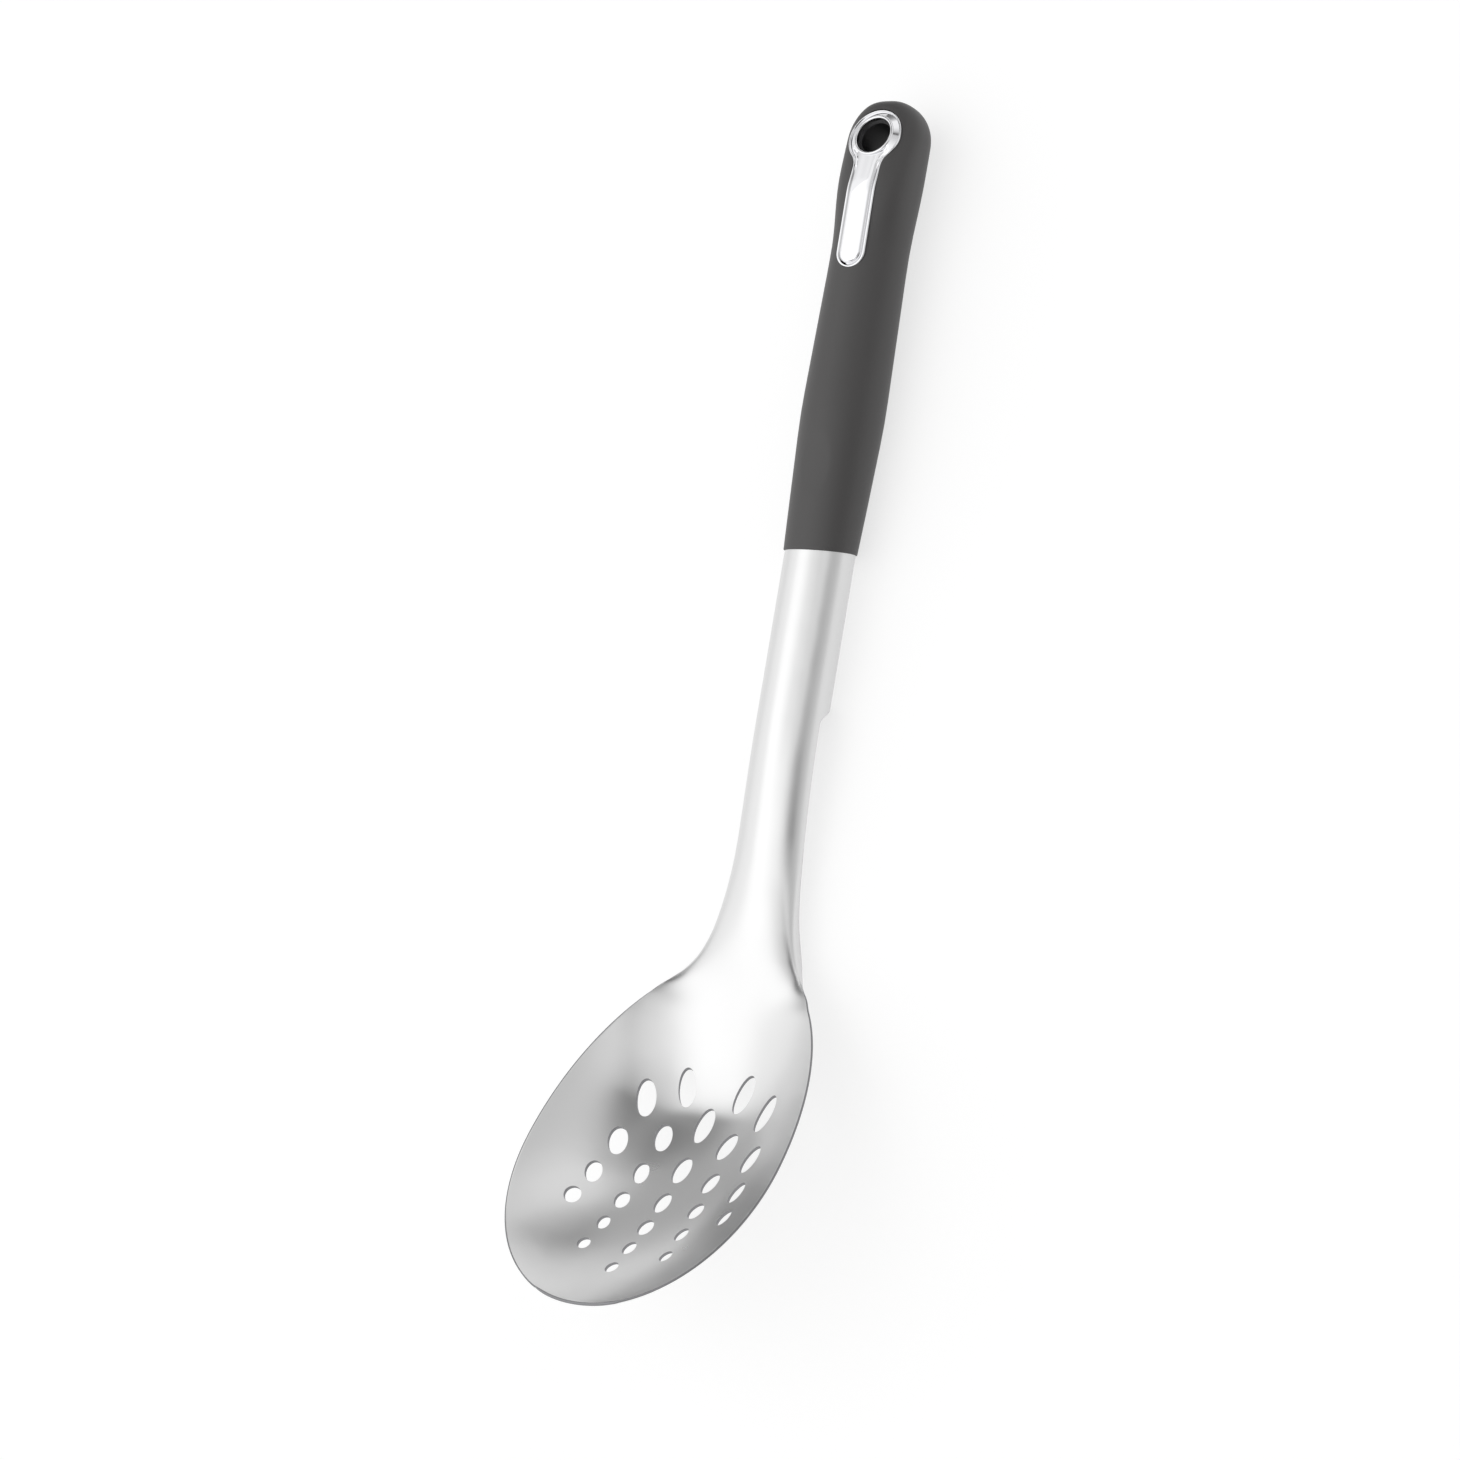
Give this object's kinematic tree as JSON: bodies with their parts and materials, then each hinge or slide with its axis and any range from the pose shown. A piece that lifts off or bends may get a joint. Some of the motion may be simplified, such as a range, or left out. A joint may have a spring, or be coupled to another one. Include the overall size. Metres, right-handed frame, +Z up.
{
  "type": "slotted serving spoon",
  "caption": "Slotted serving spoon: a pressed steel bowl with draining slots, a rolled steel stem and a soft grip with a plated hanging eye.",
  "frame": {"origin": "middle of the bottom of the bounding box: the spoon lies face up on a table, on the underside of its neck and the back of its grip", "axes": "+Y from the bowl's tip to the end of the grip, +Z up out of the front, +X to the side; the spoon is mirror-symmetric across X"},
  "size_m": [0.0786, 0.3312, 0.0555],
  "materials": {
    "steel": "satin stainless steel, brighter on the front of the stem",
    "black_core": "moulded black plastic, seen inside the hanging hole",
    "soft_grip": "matte soft-touch overmould",
    "plated_trim": "polished bright plating"
  },
  "bodies": {
    "root": {"spoon_blade": "steel", "handle_core": "black_core", "grip_sleeve": "soft_grip", "hanging_inlay": "plated_trim"}
  },
  "joints": []
}
